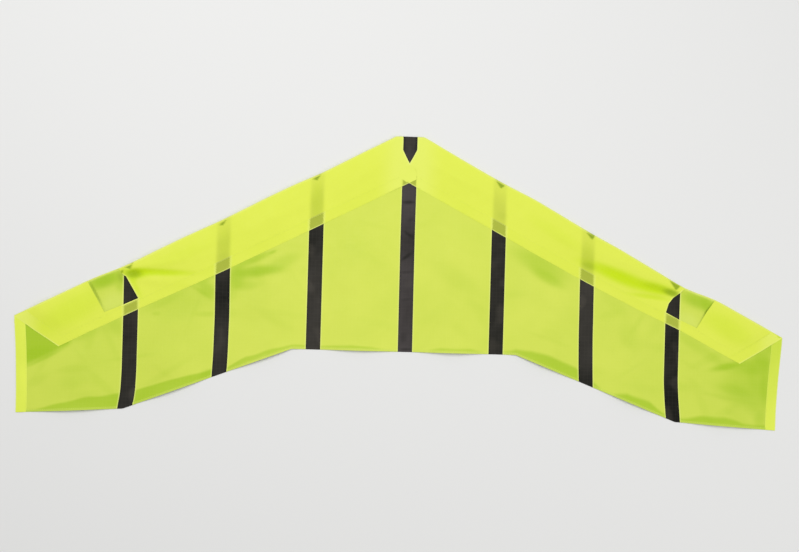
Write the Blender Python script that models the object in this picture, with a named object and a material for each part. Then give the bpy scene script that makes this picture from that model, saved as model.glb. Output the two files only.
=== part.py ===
"""The sail of a model hang glider, lying on a floor with its sleeve side up.

Metres, +Z up. +X runs to the sail's right tip as laid, +Y to its nose. The origin is on the floor,
under the middle of the sail's box. The cloth is one layer of eight panels and seven dark strips,
edge to edge. A sleeve along each leading edge folds back over it and ends in a hem tape.
"""

import math

import bmesh
import bpy
from mathutils import Vector

# Plan of the right half, which the left half mirrors
HALF_SPAN = 0.548  # to the front corner of a tip
NOSE_Y = 0.2036  # the flat front of the nose
SPAR_LINE_Y = 0.2141  # where both leading edges would meet on the centreline
SWEEP = math.radians(27.32)
TIP_BACK_X, TIP_BACK_Y = 0.5407, -0.2036
TRAILING_CENTRE_Y = -0.1047
TRAILING_KINK_X = 0.1598  # the trailing edge is straight across out to here
TRAILING_TIP_X, TRAILING_TIP_Y = 0.3929, -0.1947  # and turns along the tip panel here

# Strips
STRIP_PITCH = 0.130
STRIP_WIDTH = 0.020
OUTER_STRIP_X = 0.3865, 0.3875  # the last strip's centre at its front and its back end
NOTCH_HALF_WIDTH, NOTCH_DEPTH = 0.004, 0.005  # the small V in the fold at each strip
DIP_HALF_WIDTH, DIP_DEPTH = 0.025, 0.003  # and the shallow dip that it sits in

# Sleeves
SLEEVE_DEPTH = 0.0763  # leading edge to hem, along Y
SLEEVE_TIP_DEPTH = 0.0721
DEPTH_TAPER_X = 0.270  # the sleeve narrows from here to its back corner
SLEEVE_CORNER_X = 0.4852  # the back corner of its slanting tip end
FOLD_RADIUS = 0.0016  # inside the fold
FOLD_RETURN = 0.005  # how far the fold's cloth runs back under the sleeve
SLEEVE_BULGE = 0.0021
NOSE_END_X = 0.0103
NOSE_CROSS_X = 0.0095  # each sleeve's end reaches this far past the centreline
NOSE_NOTCH = 0.26  # share of the sleeve's depth where its end turns across the keel strip
CROSSING_LIFT = 0.0017  # the left sleeve's end lies on the right one's
TAPE_FROM = 0.806  # share of the sleeve's depth where the hem tape starts

# Crossbar window in each sleeve, cut from the fold back to the hem tape. Its corners in order, from
# the outer edge's front end round the tape's front edge to the inner edge, which is bowed.
WINDOW = [
    (0.4490, -0.0135),
    (0.4210, -0.0610),
    (0.3765, -0.0390),
    (0.3815, -0.0220),
    (0.3970, -0.0068),
    (0.4060, 0.0100),
]
WINDOW_FLOOR, WINDOW_TOP = 0.00115, 0.02

# Hems
TIP_HEM_WIDTH = 0.0145
SLEEVE_TIP_HEM_X = 0.0165  # the slanting hem's width, measured along X

# Cloth
CLOTH = 0.001
GAP = 0.0003  # between pieces that touch
BILLOW = 0.0034  # how far the middle of a panel stands off the floor
BILLOW_REACH = 0.35  # share of the panel's length over which it comes up from the hem
CURL, CURL_WIDTH = 0.0022, 0.020  # the trailing edge turns up between two strips
FLAT_PAST_HEM = 0.002

ARC_STEPS = 6
FLAP_ROWS = (0.10, 0.20, 0.32, 0.45, 0.58, 0.70)
PANEL_ROWS = (0.0, 0.14, 0.28, 0.42, 0.56, 0.70, 0.82)
BAY_STEPS = (0.025, 0.045, 0.065, 0.085, 0.105)

SLOPE = math.tan(SWEEP)
HALF_STRIP = STRIP_WIDTH / 2
NOSE_CORNER_X = (SPAR_LINE_Y - NOSE_Y) / SLOPE
LEFT, RIGHT = -1, 1
SIDES = {"left": LEFT, "right": RIGHT}


def mix(a, b, t):
    return a + (b - a) * t


def smooth(low, high, value):
    t = min(max((value - low) / (high - low), 0), 1)
    return t * t * (3 - 2 * t)


def front(x):
    """Y of the leading edge, with the dip and the V notch at each strip but the keel's."""
    y = min(NOSE_Y, SPAR_LINE_Y - SLOPE * x)
    for number in (1, 2, 3):
        away = abs(x - number * STRIP_PITCH)
        y -= DIP_DEPTH * max(1 - away / DIP_HALF_WIDTH, 0)
        y -= NOTCH_DEPTH * max(1 - away / NOTCH_HALF_WIDTH, 0)
    return y


def hem(x):
    """Y of the sleeve's back edge, which runs on straight across the centreline."""
    depth = mix(SLEEVE_DEPTH, SLEEVE_TIP_DEPTH, smooth(DEPTH_TAPER_X, SLEEVE_CORNER_X, x))
    return SPAR_LINE_Y - SLOPE * x - depth


def back(x):
    """Y of the trailing edge."""
    if x < TRAILING_KINK_X:
        return TRAILING_CENTRE_Y
    if x < TRAILING_TIP_X:
        share = (x - TRAILING_KINK_X) / (TRAILING_TIP_X - TRAILING_KINK_X)
        return mix(TRAILING_CENTRE_Y, TRAILING_TIP_Y, share)
    share = (x - TRAILING_TIP_X) / (TIP_BACK_X - TRAILING_TIP_X)
    return mix(TRAILING_TIP_Y, TIP_BACK_Y, share)


def strip_x(number):
    """X of a strip's centre at its front and at its back end."""
    return OUTER_STRIP_X if number == 3 else (number * STRIP_PITCH, number * STRIP_PITCH)


def make_material(name, colour, roughness):
    material = bpy.data.materials.new(name)
    material.use_nodes = True
    shader = material.node_tree.nodes["Principled BSDF"]
    shader.inputs["Base Color"].default_value = (*colour, 1)
    shader.inputs["Roughness"].default_value = roughness
    shader.inputs["Metallic"].default_value = 0
    material.diffuse_color = (*colour, 1)
    return material


def add_cloth(name, grid, side, look, outward=1):
    """One piece of cloth from a grid of points, columns running out along the span.

    outward is 1 where each column runs forwards along Y, so that the thickness goes up from the
    grid, and -1 on a sleeve, whose columns run round the fold and then back.
    """
    origin = Vector(grid[0][0])
    sheet = bmesh.new()
    columns = [[sheet.verts.new(Vector(point) - origin) for point in column] for column in grid]
    for near, far in zip(columns, columns[1:]):
        for k in range(len(near) - 1):
            corners = [near[k], far[k], far[k + 1], near[k + 1]]
            sheet.faces.new(corners if side * outward > 0 else corners[::-1])
    mesh = bpy.data.meshes.new(name)
    sheet.to_mesh(mesh)
    sheet.free()
    mesh.shade_smooth()
    piece = bpy.data.objects.new(name, mesh)
    piece.location = origin
    piece.parent = sail
    bpy.context.collection.objects.link(piece)
    colour, roughness = look
    mesh.materials.append(make_material(name, colour, roughness))
    thick = piece.modifiers.new("cloth", "SOLIDIFY")
    thick.thickness = CLOTH
    thick.offset = 1
    thick.use_even_offset = True
    return piece


def base_front(x):
    """Y where a base column begins: behind the fold's return, or at the open nose."""
    if x < HALF_STRIP:
        return NOSE_Y
    return front(x) - CLOTH - FOLD_RETURN - GAP


def make_panel(side_name, number):
    """A panel between two strips, or between the last strip and the tip's hem."""
    side = SIDES[side_name]
    inner = [x + HALF_STRIP + GAP / 2 for x in strip_x(number - 1)]
    if number < 4:
        outer = [x - HALF_STRIP - GAP / 2 for x in strip_x(number)]
    else:
        outer = [HALF_SPAN - TIP_HEM_WIDTH - GAP, TIP_BACK_X - TIP_HEM_WIDTH - GAP]
    start = (number - 1) * STRIP_PITCH
    steps = [start + step for step in BAY_STEPS]
    if number == 1:
        steps[0] = NOSE_CORNER_X
    if number == 4:
        steps.append(start + STRIP_PITCH)
    columns = []
    for x_front in [inner[0], *steps, outer[0]]:
        across = (x_front - inner[0]) / (outer[0] - inner[0])
        x_back = mix(inner[1], outer[1], across)
        arch = math.sin(math.pi * across) ** 2
        y_front, y_back = base_front(x_front), back(x_back)
        y_hem = hem(x_front) - FLAT_PAST_HEM
        rows = [y_back, y_back + CURL_WIDTH / 2]
        rows += [mix(y_hem, y_back, share) for share in reversed(PANEL_ROWS)]
        column = []
        for y in [*rows, y_front]:
            x = mix(x_front, x_back, (y_front - y) / (y_front - y_back))
            rise = BILLOW * smooth(0, BILLOW_REACH, (y_hem - y) / (y_hem - y_back))
            turned_up = CURL * max(1 - (y - y_back) / CURL_WIDTH, 0) ** 2
            column.append((side * x, y, arch * (rise + turned_up)))
        columns.append(column)
    return add_cloth(f"panel_{side_name}_{number}", columns, side, YELLOW_CLOTH)


def make_flat_piece(name, across, side, look):
    """A piece that lies flat, from its pairs of X at the front and at the back."""
    columns = []
    for x_front, x_back in across:
        ends = (x_back, back(abs(x_back))), (x_front, base_front(x_front))
        columns.append([(side * x, y, 0) for x, y in ends])
    return add_cloth(name, columns, side, look)


def make_keel_strip():
    edge = HALF_STRIP - GAP / 2
    return make_flat_piece("keel_strip", [(-edge, -edge), (edge, edge)], RIGHT, KEEL_CLOTH)


def make_batten_strip(side_name, number):
    """A dark strip from the sleeve's fold, with its V notch, to the trailing edge."""
    edge = HALF_STRIP - GAP / 2
    notch = number * STRIP_PITCH
    centre_front, centre_back = strip_x(number)
    fronts = [centre_front - edge, notch - NOTCH_HALF_WIDTH, notch, notch + NOTCH_HALF_WIDTH]
    fronts.append(centre_front + edge)
    across = [(x, x + centre_back - centre_front) for x in fronts]
    name = f"batten_strip_{side_name}_{number}"
    return make_flat_piece(name, across, SIDES[side_name], STRIP_CLOTH)


def make_tip_hem(side_name):
    across = [(HALF_SPAN - inset, TIP_BACK_X - inset) for inset in (TIP_HEM_WIDTH, 0)]
    return make_flat_piece(f"tip_hem_{side_name}", across, SIDES[side_name], HEM_CLOTH)


def nose_end(share):
    """X of a sleeve's nose end: beside the keel strip, then across it on a slant."""
    if share < NOSE_NOTCH:
        return NOSE_END_X
    return mix(NOSE_END_X, -NOSE_CROSS_X, (share - NOSE_NOTCH) / (1 - NOSE_NOTCH))


def tip_end(share):
    """X of a sleeve's slanting tip end."""
    return mix(HALF_SPAN, SLEEVE_CORNER_X, share)


def sleeve_columns():
    """The sleeve's columns, each a function from the share of its depth to X."""
    first = BAY_STEPS[1]
    to_corner = (NOSE_CORNER_X - NOSE_END_X) / (first - NOSE_END_X)
    columns = [nose_end, lambda share: mix(nose_end(share), first, to_corner)]
    steps = list(BAY_STEPS[1:])
    for number in (1, 2, 3):
        centre = number * STRIP_PITCH
        notch = [-HALF_STRIP, -NOTCH_HALF_WIDTH, 0, NOTCH_HALF_WIDTH, HALF_STRIP]
        steps += [centre + step for step in notch]
        steps += [centre + step for step in BAY_STEPS if centre + step < 0.47]
    columns += [lambda share, x=x: x for x in steps]
    last = steps[-1]
    inner = lambda share: tip_end(share) - SLEEVE_TIP_HEM_X - GAP
    columns += [lambda share, t=t: mix(last, inner(share), t) for t in (0.25, 0.5, 0.75, 1)]
    return columns


def flap_height(x, share, side):
    """Height of the sleeve's inner surface over the floor, from its fold to its hem."""
    sewn = CLOTH + GAP
    fold_top = CLOTH + 2 * FOLD_RADIUS
    wave = 0.7 + 0.3 * math.cos(2 * math.pi * (x / STRIP_PITCH - 0.5))
    bulge = SLEEVE_BULGE * wave * math.sin(math.pi * share**0.7) ** 2
    height = mix(sewn, fold_top, (1 - share) ** 1.5) + bulge * smooth(0.012, 0.06, x)
    if side == LEFT:
        height += CROSSING_LIFT * (1 - smooth(0.012, 0.036, x)) * smooth(0, 0.45, share)
    return height


def flap_point(column, share, side):
    x = column(share)
    y = mix(front(x) - CLOTH, hem(x), share)
    return side * x, y, flap_height(x, share, side)


def fold_points(column, side):
    """The fold, from its return under the sleeve round to the top."""
    x = column(0)
    points = [(FOLD_RETURN, CLOTH)]
    for step in range(ARC_STEPS + 1):
        angle = math.pi * (step / ARC_STEPS - 0.5)
        aft = FOLD_RADIUS * (1 - math.cos(angle))
        points.append((aft, CLOTH + FOLD_RADIUS * (1 + math.sin(angle))))
    placed = []
    for aft, z in points:
        x = column(aft / SLEEVE_DEPTH)
        placed.append((side * x, front(x) - CLOTH - aft, z))
    return placed


def make_window_cutter(side_name):
    side = SIDES[side_name]
    prism = bmesh.new()
    corners = [prism.verts.new((side * x, y, WINDOW_FLOOR)) for x, y in WINDOW]
    face = prism.faces.new(corners)
    grown = bmesh.ops.extrude_face_region(prism, geom=[face])
    raised = [v for v in grown["geom"] if isinstance(v, bmesh.types.BMVert)]
    bmesh.ops.translate(prism, verts=raised, vec=(0, 0, WINDOW_TOP - WINDOW_FLOOR))
    bmesh.ops.recalc_face_normals(prism, faces=prism.faces)
    mesh = bpy.data.meshes.new(f"window_cutter_{side_name}")
    prism.to_mesh(mesh)
    prism.free()
    cutter = bpy.data.objects.new(mesh.name, mesh)
    cutter.hide_render = True
    cutter.display_type = "WIRE"
    bpy.context.collection.objects.link(cutter)
    return cutter


def make_sleeve(side_name):
    """A sleeve: the fold along the leading edge and the flap back to its hem tape."""
    side = SIDES[side_name]
    shares = [*FLAP_ROWS, TAPE_FROM - GAP / SLEEVE_DEPTH]
    columns = []
    for column in sleeve_columns():
        flap = [flap_point(column, share, side) for share in shares]
        columns.append(fold_points(column, side) + flap)
    sleeve = add_cloth(f"leading_edge_sleeve_{side_name}", columns, side, SLEEVE_CLOTH, outward=-1)
    window = sleeve.modifiers.new("window", "BOOLEAN")
    window.operation = "DIFFERENCE"
    window.solver = "EXACT"
    window.object = make_window_cutter(side_name)
    return sleeve


def make_hem_tape(side_name):
    side = SIDES[side_name]
    columns = []
    for column in sleeve_columns():
        columns.append([flap_point(column, share, side) for share in (TAPE_FROM, 1)])
    return add_cloth(f"sleeve_hem_tape_{side_name}", columns, side, TAPE_CLOTH, outward=-1)


def make_sleeve_tip_hem(side_name):
    """The slanting hem at a sleeve's tip end, across both the flap and its tape."""
    side = SIDES[side_name]
    columns = []
    for inset in (SLEEVE_TIP_HEM_X, 0):
        column = lambda share, inset=inset: tip_end(share) - inset
        flap = [flap_point(column, share, side) for share in (*FLAP_ROWS, TAPE_FROM, 1)]
        columns.append(fold_points(column, side) + flap)
    return add_cloth(f"sleeve_tip_hem_{side_name}", columns, side, HEM_CLOTH, outward=-1)


# Colour and roughness of each cloth
YELLOW_CLOTH = (0.66, 0.74, 0.09), 0.55
SLEEVE_CLOTH = (0.76, 0.84, 0.10), 0.55
TAPE_CLOTH = (0.70, 0.78, 0.12), 0.50
HEM_CLOTH = (0.72, 0.79, 0.11), 0.55
STRIP_CLOTH = (0.021, 0.021, 0.015), 0.75
KEEL_CLOTH = (0.045, 0.040, 0.036), 0.75

for old in list(bpy.data.objects):
    bpy.data.objects.remove(old)

sail = bpy.data.objects.new("sail", None)
bpy.context.collection.objects.link(sail)

make_keel_strip()
for side_name in SIDES:
    for number in (1, 2, 3):
        make_batten_strip(side_name, number)
    for number in (1, 2, 3, 4):
        make_panel(side_name, number)
    make_tip_hem(side_name)
    make_sleeve(side_name)
    make_hem_tape(side_name)
    make_sleeve_tip_hem(side_name)
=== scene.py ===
# %% [markdown]
# # The sail of a model hang glider, laid out on a floor
#
# The real thing is a metre of thin fluorescent ripstop with no frame in it. It lies limp, with
# the side that carries its sleeves up: a fold of cloth runs down each leading edge and takes the
# wing tube, dark strips take the battens, and a window in each sleeve lets the crossbar through.
# Everything that shows is cloth, so this lesson cuts every piece flat, folds it, and lays it
# down.

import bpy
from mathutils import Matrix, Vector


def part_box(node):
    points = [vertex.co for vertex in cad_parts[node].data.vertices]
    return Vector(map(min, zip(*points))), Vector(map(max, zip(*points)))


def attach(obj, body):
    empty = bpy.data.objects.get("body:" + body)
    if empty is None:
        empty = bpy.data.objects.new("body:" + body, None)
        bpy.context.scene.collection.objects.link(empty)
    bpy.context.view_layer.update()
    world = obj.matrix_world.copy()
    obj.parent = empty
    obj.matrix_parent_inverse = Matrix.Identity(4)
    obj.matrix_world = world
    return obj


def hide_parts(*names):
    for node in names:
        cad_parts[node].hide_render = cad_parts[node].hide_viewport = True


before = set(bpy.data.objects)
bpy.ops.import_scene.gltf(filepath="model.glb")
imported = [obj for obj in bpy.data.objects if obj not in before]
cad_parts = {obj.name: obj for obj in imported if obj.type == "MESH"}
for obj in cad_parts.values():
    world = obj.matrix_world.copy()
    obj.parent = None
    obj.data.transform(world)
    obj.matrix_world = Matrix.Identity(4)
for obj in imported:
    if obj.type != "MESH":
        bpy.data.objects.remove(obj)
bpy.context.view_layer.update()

# %% Tools
import math
from functools import partial

import bmesh
import bpy
import numpy as np
from mathutils import Matrix, Vector

MM = 0.001
BODY = "root"
SIDES = {"left": -1, "right": 1}
print("lengths are in metres, so a millimetre is", MM)

# %% [markdown]
# ## The plan of the sail
#
# A sailmaker starts from a plan drawn on the loft floor. So does this script: it reads the big
# sizes from the frame's boxes, and adds the few that a box can't tell, such as the sweep and the
# place of the trailing edge's corners. A point's distance out from the centreline is called
# `out`, and runs towards the tip on both sides.

# %% Sizes of the plan
keel_low, keel_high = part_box("keel_strip")
strip_low, strip_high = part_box("batten_strip_right_1")
tip_low, tip_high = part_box("tip_hem_right")
NOSE_Y, TAIL_Y, TIP_BACK_Y = keel_high.y, keel_low.y, tip_low.y
STRIP_PITCH = (strip_low.x + strip_high.x) / 2
HALF_STRIP = (strip_high.x - strip_low.x) / 2
SWEEP = math.radians(27.32)  # of the leading edge
SLOPE = math.tan(SWEEP)
MEETING_Y = 0.2141  # where the two leading edges would meet
TRAILING_KINK_OUT = 0.1598  # the trailing edge runs straight across as far as this
TRAILING_TIP_OUT, TRAILING_TIP_Y = 0.3929, -0.1947  # its corner at the outer strip
print("span", round(2 * tip_high.x, 4), "strips every", round(STRIP_PITCH, 4))

# %% [markdown]
# ## Edges that aren't quite straight
#
# Nobody lays a limp sail down dead straight. The leading edges bow in by a few millimetres
# between the strips, and the dark strips wander. Curves could be drawn for this, but a short list
# of places and offsets in millimetres is easier to read and to change. It is read with a little
# smoothing, so that no corner shows.


# %% Reading a list of offsets
def mix(a, b, share):
    return a + (b - a) * share


def along(pairs, at):
    """Reads (place, value) pairs, both in millimetres, at a place in metres."""
    place, value = np.array(pairs, float).T * MM
    return sum(np.interp(at + step * MM, place, value) for step in (-8, -4, 0, 4, 8)) / 5


print("a corner at 0 mm is read as", round(along([(0, 0), (20, 0), (40, 4)], 20 * MM) / MM, 2))

# %% Leading edges
LEADING_BOW = {
    "left": [(0, -0.4), (37, -1.4), (65, -1.7), (95, -2.6), (125, -3.4), (164, -1.5), (202, -1.7),
             (240, -2.9), (262, -3.4), (285, -3), (320, -2.3), (360, -3), (388, -3.9), (407, -2.8),
             (420, -1.2), (443, 0.4), (470, 0.1), (548, 0.2)],
    "right": [(0, -0.5), (30, -0.9), (60, -2), (100, -3.1), (138, -3.3), (182, -1.2), (205, -2),
              (240, -3.5), (270, -4.4), (305, -3.9), (340, -5.4), (365, -6.2), (397, -7.5),
              (412, -6), (426, -3.6), (439, -1), (452, 0.5), (480, 0.3), (548, 0.1)],
}


def straight_y(out):
    """The leading edge as drawn, with no bow."""
    return MEETING_Y - SLOPE * out


def leading_y(side, out):
    return np.minimum(NOSE_Y, straight_y(out)) + along(LEADING_BOW[side], out)


print("front at the first strip:", [round(leading_y(side, STRIP_PITCH), 4) for side in SIDES])

# %% Back edges of the sleeves
SLEEVE_DEPTH = {
    "left": [(0, 77.6), (130, 77.9), (260, 77.8), (290, 77.3), (385, 74.3), (425, 74.2),
             (445, 73.4),
             (475, 74), (490, 73.5)],
    "right": [(0, 77.6), (150, 78), (180, 78.5), (240, 78.3), (290, 77.2), (345, 75), (370, 73.3),
              (388, 72), (400, 71.2), (425, 71.4), (460, 71.6), (490, 71.5)],
}


def hem_y(side, out):
    """The sleeve's back edge, which runs straight on across the centreline."""
    return straight_y(out) - along(SLEEVE_DEPTH[side], out)


print("hem at the first strip:", [round(hem_y(side, STRIP_PITCH), 4) for side in SIDES])

# %% Lines of the strips
STRIP_LINES = {  # (y, out) of each strip's centre
    ("left", 1): [(-98, 129.6), (64, 130.1)],
    ("left", 2): [(-147, 260.7), (-116, 259.4), (-60, 259), (0, 260.1)],
    ("left", 3): [(-196, 390.6), (-171, 386.8), (-140, 386), (-60, 386.7), (-20, 387.4),
                  (0, 387.8)],
    ("right", 1): [(-97, 130.9), (61, 131.1)],
    ("right", 2): [(-147, 262.3), (-120, 261.3), (-80, 260.5), (0, 260.4)],
    ("right", 3): [(-196, 390.5), (-164, 387.5), (-135, 385.7), (-60, 386.1), (0, 386.6)],
}
KEEL_LINE = [(-98, 1.0), (-30, 0.6), (60, 0.2), (200, 0.6)]  # (y, x)


def strip_out(side, number, y):
    """How far out a strip's centre is. Number 0 is the keel strip."""
    if number == 0:
        return along(KEEL_LINE, y) * SIDES[side]
    return along(STRIP_LINES[side, number], y)


def to_strip(side, out, y, numbers):
    """How far a point is from the centre of the nearest of these strips."""
    return np.min([np.abs(out - strip_out(side, number, y)) for number in numbers], 0)


print("outer strips at y -0.1:", [round(strip_out(side, 3, -0.1), 4) for side in SIDES])

# %% Tips and trailing edge
TIP_LINES = {  # (y, out) of each tip's outer edge
    "left": [(-204, 540.3), (-175, 540.8), (-145, 542), (-110, 543.9), (-85, 546.2), (-66, 547.4)],
    "right": [(-204, 540.3), (-175, 540.8), (-145, 542.4), (-127, 543.7), (-110, 545.2),
              (-85, 547.6),
              (-66, 548.4)],
}


def tip_out(side, y):
    """The outer edge of the tip, which leans in a little towards its back."""
    return along(TIP_LINES[side], y)


TIP_BACK_OUT = float(tip_out("left", TIP_BACK_Y))  # the same on both sides


def trailing_y(out):
    return np.interp(out, [TRAILING_KINK_OUT, TRAILING_TIP_OUT, TIP_BACK_OUT],
                     [TAIL_Y, TRAILING_TIP_Y, TIP_BACK_Y])


print("chord at the tip:", round(leading_y("left", TIP_BACK_OUT) - TIP_BACK_Y, 4))

# %% [markdown]
# ## How the cloth lies
#
# Limp cloth on a floor is almost flat, and its shape is what the eye reads as cloth: each panel
# stands up a little between two strips, the trailing edge lifts, and there are broad waves, soft
# dents and a few sharp folds. A cloth simulation would make some wrinkles, but not the ones this
# sail has, so the heights are written down instead: two height functions, one for the cloth on
# the floor and one for the sleeve's upper layer, built from the same ingredients. Folds and dents
# also carry a painted shade: light that comes back through one layer of this cloth is greener
# than through two, and a fold that hugs the floor or faces away from the light is darker still.

# %% Soft steps and waves
WAVES = 16


def smooth(low, high, value):
    """A soft step from 0 at low to 1 at high."""
    share = np.clip((value - low) / (high - low), 0, 1)
    return share * share * (3 - 2 * share)


def ripples(x, y, size, seed):
    """Soft random waves of about this size, mostly between -1 and 1."""
    rng = np.random.default_rng(seed)
    total = np.zeros_like(x)
    for _ in range(WAVES):
        turn, phase = rng.uniform(0, 2 * math.pi, 2)
        length = size * rng.uniform(0.7, 1.8)
        total += np.sin((x * math.cos(turn) + y * math.sin(turn)) * 2 * math.pi / length + phase)
    return total / math.sqrt(WAVES * 1.6)


test_x = np.linspace(-0.5, 0.5, 9)
print("ripples:", ripples(test_x, 0 * test_x, size=0.1, seed=1).round(2))


# %% Folds
def folds(rows, x, y):
    """Height and painted shade of a list of folds: x, y, half length, half width, turn, rise, tone.
    """
    height, clear = np.zeros_like(x), np.ones_like(x)
    for cx, cy, length, width, turn, rise, tone in rows:
        c, s = math.cos(math.radians(turn)), math.sin(math.radians(turn))
        dx, dy = x - cx * MM, y - cy * MM
        away = ((dx * c + dy * s) / (length * MM)) ** 2 + ((dy * c - dx * s) / (width * MM)) ** 2
        height += rise * MM * np.exp(-away)
        # the tone is painted shade, strongest in the fold's middle
        clear *= 1 - tone * np.exp(-(away ** 1.6))
    return height, 1 - clear


test_height, _ = folds([(0, 0, 200, 9, 0, 1, 1)], test_x, 0 * test_x)
print("a fold's height, mm:", (test_height / MM).round(2))


# %% Left and right
def by_side(x, values):
    """Picks the left or the right result of values(side) for each x."""
    return np.where(x < 0, values("left"), values("right"))


def along_x(pairs, x):
    """Reads (x, value) pairs in millimetres with straight lines between them."""
    place, value = np.array(pairs, float).T * MM
    return np.interp(x, place, value)


print("fronts:", by_side(test_x, lambda side: leading_y(side, np.abs(test_x))).round(3))

# %% Folds of the cloth on the floor
# x, y, half length, half width, turn, rise, and the painted shade of each fold or dent
GROUND_FOLDS = [
    (-281, -24, 17, 10, -43, 0.7, 0.50), (-283, -59, 14, 4, 2, 0.4, 0.22),
    (-290, -27, 18, 3, -31, 0.3, 0.30), (-312, -44, 46, 22, 25, 0.3, 0.22),
    (-284, -8, 26, 6, 27, 0.2, 0.35),
    (-342, -42, 30, 8, 27, 0.5, 0.28), (-351, -60, 6, 3, 2, 0.3, 0.25),
    (-209, 4.5, 34, 7.5, 6, 0.5, 0.72), (-240, -4, 12, 17, 0, 0.4, 0.55),
    (-191, 31.5, 6, 2, 24, 0, 0.5),
    (-218, 20, 28, 5.5, 24, 0.3, 0.55), (-250, -20, 12, 20, -5, 0.3, 0.25),
    (-226, -17, 18, 7, 8, 0.2, 0.32),
    (-176, 18, 24, 9, 24, 0.2, 0.32), (-222, -3, 16, 6, 6, 0, 0.3),
    (-407, -78, 16, 11, -57, 0.6, 0.30), (-463, -159, 18, 12, 10, 0.4, 0.18),
    (-434, -89, 35, 7, 25, 0.3, 0.08), (193, 26, 46, 15, -27, 0.6, 0.52),
    (203, 7, 26, 8, -28, 0.4, 0.46),
    (69, 3, 43, 14, -32, 0.4, 0.14), (323, -73, 22, 14, -69, 0.8, 0.18),
    (352, -78, 20, 6, 88, 0.6, 0), (467, -113, 24, 5, 12, 0.4, 0.72),
    (445, -100, 40, 8, -28, 0.2, 0.22),
    (507, -112, 30, 13, 3, 0.5, 0.66), (518, -98, 18, 11, -35, 0.2, 0.6),
    (532, -84, 14, 12, -35, 0, 0.6),
    (525, -136, 30, 9, -92, 0.4, 0.6), (497, -148, 42, 25, -35, 0.6, 0.46),
    (478, -147, 24, 8, -14, 0.3, 0.34),
    (511, -130, 20, 13, -70, 0.2, 0.36), (460, -150, 26, 11, -33, 0.2, 0.14),
    (412, -76, 26, 9, -28, 0, 0.22), (-448, -92, 20, 6, 27, 0, 0.26),
    (-276, -143, 13, 6, 21, 0, 0.42),
    (518, -187, 12, 9, -110, 0.3, 0.30), (-512, -119, 24, 9, 12, 0.3, 0.5),
    (-505, -128, 26, 2.4, 28, 0.3, 0.45), (-463, -141, 22, 6, 8, 0.3, 0.18),
    (-424, -15, 27, 11, 22, 0.4, 0.85), (-402, -20, 7, 12, 0, 0.2, 0.4),
    (424, -20, 28, 11, -20, 0.4, 0.72),
    (437, -26, 13, 8, -60, 0.3, 0.5),
    (-60, 20, 60, 22, 35, 0.5, 0), (60, 60, 70, 20, -40, 0.5, 0), (-180, -60, 50, 16, 60, 0.6, 0),
    (-330, -120, 40, 14, 20, 0.6, 0), (190, -50, 60, 18, -55, 0.6, 0),
    (320, -130, 45, 14, -20, 0.6, 0),
    (-470, -130, 40, 12, 40, 0.5, 0), (450, -150, 45, 14, -30, 0.6, 0),
]
print(len(GROUND_FOLDS), "folds and dents, set one by one")


# %% Small folds all over
def small_folds(count, seed):
    """Rows for soft low folds all over the sail, as limp cloth has, with painted shade."""
    rng = np.random.default_rng(seed)
    rows = []
    for _ in range(count):
        out = rng.uniform(10, 530)
        back, hem = float(trailing_y(out * MM)), float(hem_y("left", out * MM))
        y = mix(back, hem, rng.uniform(0.05, 0.95)) / MM
        calm = 0.4 + 0.6 * smooth(100, 260, out)
        rows.append((out * rng.choice([-1, 1]), y, rng.uniform(12, 40), rng.uniform(3, 8),
                     rng.uniform(-75, 75), calm * rng.uniform(0.12, 0.4),
                     calm * rng.uniform(0, 0.16)))
    return rows


GROUND_FOLDS += small_folds(count=90, seed=7)
print(len(GROUND_FOLDS), "folds and dents with the small ones")

# %% Bays between the strips
CLOTH = 0.11 * MM
ALLOWANCE = 4 * MM  # how much wider a strip is cut on each side, to be sewn under the panels
TIP_HEM_SHOWS = 14.5 * MM  # the width of the tip's hem, which ends the outer bay


def bay_share(side, out, y):
    """How far a point is across its bay, from 0 at the inner strip's edge to 1 at the outer's."""
    edges = [strip_out(side, number, y) for number in range(4)]
    edges.append(tip_out(side, y) - TIP_HEM_SHOWS + HALF_STRIP)
    share = np.zeros_like(out)
    for inner, outer in zip(edges, edges[1:]):
        here = (out > inner) & (out < outer)
        low, high = inner + HALF_STRIP, outer - HALF_STRIP
        share = np.where(here, np.clip((out - low) / (high - low), 0, 1), share)
    return share


def seam_distance(x, y):
    """How far a point is from the nearest dark strip's edge."""
    centre = by_side(x, lambda side: to_strip(side, np.abs(x), y, range(4)))
    return np.abs(centre - HALF_STRIP)


def over_strips(x, y):
    """How much the panels are raised where they lie over the edge of a strip."""
    return 1.1 * CLOTH * (1 - smooth(ALLOWANCE, ALLOWANCE + 3 * MM, seam_distance(x, y)))


print("shares of the bays:", bay_share("right", np.abs(test_x), 0 * test_x - 0.1).round(2))

# %% Green bands of painted shade
# The band along the trailing edge and the patch beside the open tip are painted shade.
TRAILING_SHADE = [  # (x, depth) of the greener band along the trailing edge
    (-515, 1), (-481, 9), (-439, 17), (-395, 20), (-379, 18), (-342, 17), (-301, 14), (-270, 9),
    (-248, 4), (-224, 11), (-196, 9), (-160, 3), (-117, 4), (-76, 6), (-35, 2), (31, 2), (52, 5),
    (95, 6), (117, 1), (153, 4), (182, 14), (210, 17), (247, 17), (286, 1), (302, 0), (322, 10),
    (356, 11),
    (375, 4), (405, 5), (429, 10), (465, 11), (492, 4), (505, 4), (530, 4),
]
EDGE_GREEN = (-0.3, -0.22, 0.1, 0.2), (0.95, 0.5, 0.5, 0.9)  # x, and a share at the very edge
BAND_GREEN = (-0.45, -0.38, -0.3, -0.2, 0.1, 0.2), (0.6, 0.64, 0.64, 0.5, 0.5, 0.64)
BAND_BLUR = (0, 0.15), (1, 1.9)  # x, and how soft the band is, in millimetres
# the painted shadow beside the left sleeve's open end
OPEN_TIP_OUT, OPEN_TIP_BACK = (0.462, 0.475), (84 * MM, 73 * MM)  # where it fades in
OPEN_TIP_GREEN = 0.8


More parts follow.
